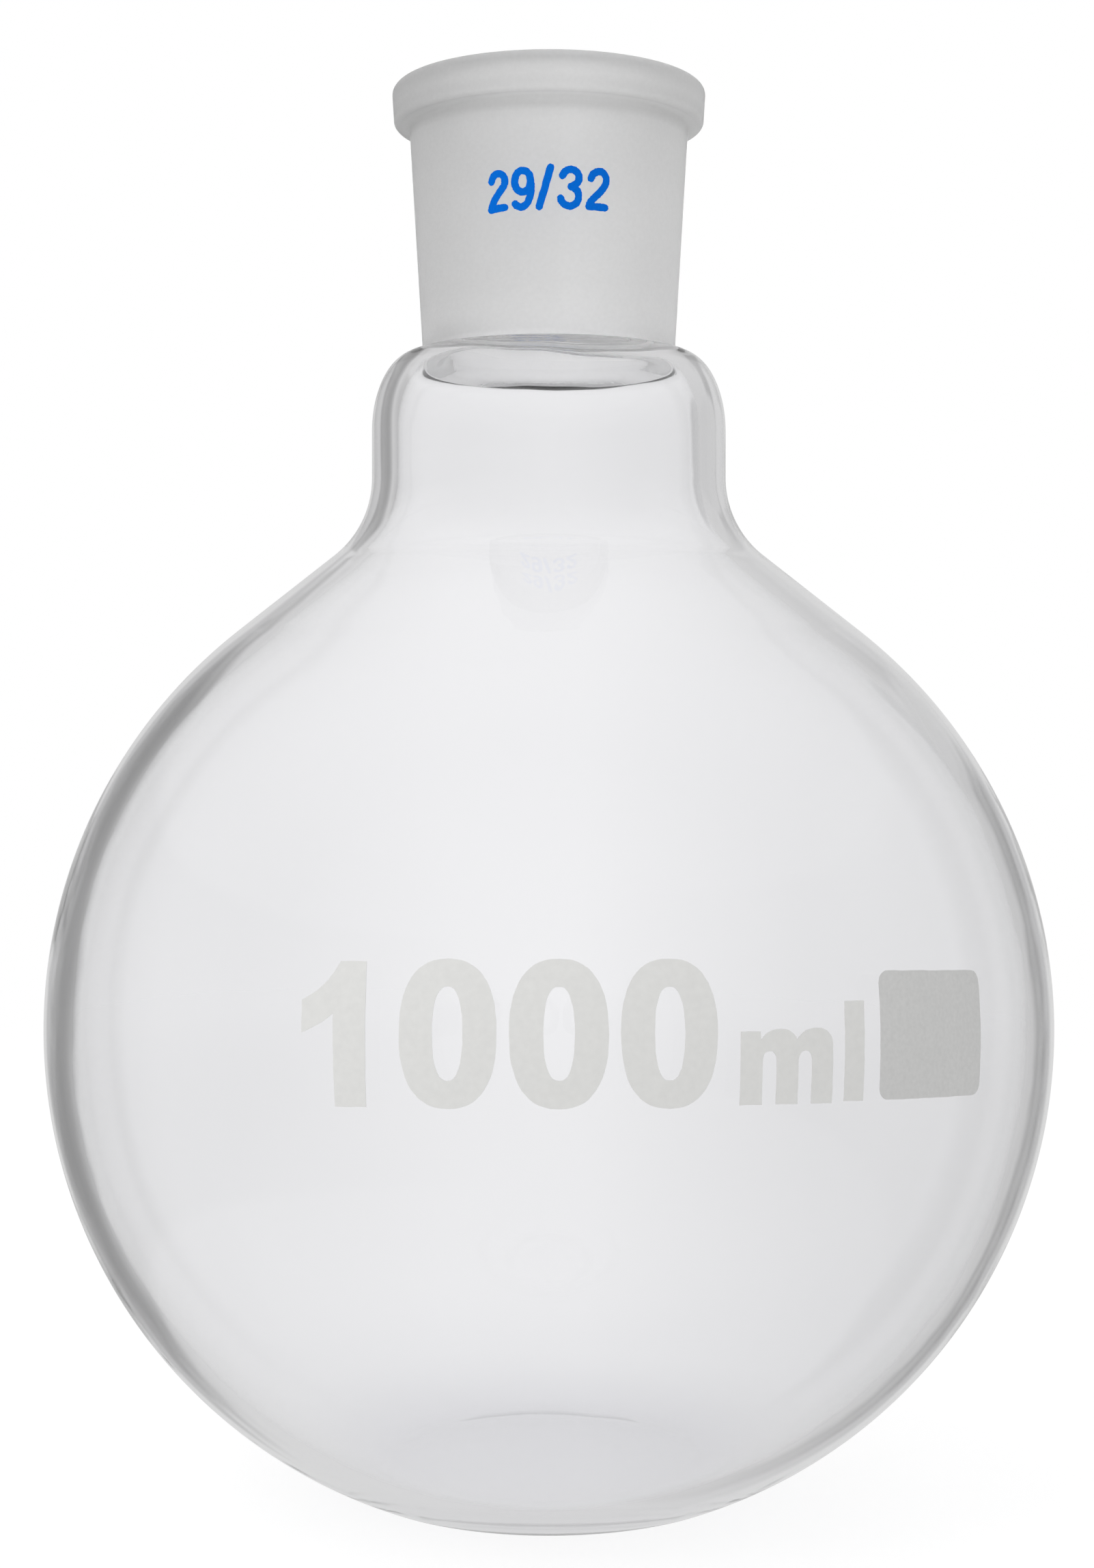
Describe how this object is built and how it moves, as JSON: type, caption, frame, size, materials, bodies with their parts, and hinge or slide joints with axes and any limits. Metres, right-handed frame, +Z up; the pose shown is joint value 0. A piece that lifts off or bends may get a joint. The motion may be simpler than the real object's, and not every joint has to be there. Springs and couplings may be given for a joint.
{
  "type": "flat-bottom boiling flask",
  "caption": "Round-bodied laboratory flask of clear heavy-walled glass with a small flat base, a short neck and a frosted ground socket with a thick collar.",
  "frame": {"origin": "on the flask's axis, at the level of the surface that its flat base stands on", "axes": "+Z up along the axis, from the base to the mouth; -Y is the side with the printed marks"},
  "size_m": [0.131, 0.131, 0.1839],
  "materials": {
    "borosilicate_glass": "clear, fire-polished",
    "ground_glass": "matte, finely ground",
    "white_enamel": "fired enamel print, matte",
    "blue_enamel": "fired enamel print, satin"
  },
  "bodies": {
    "root": {"flask": "borosilicate_glass"}
  },
  "joints": []
}
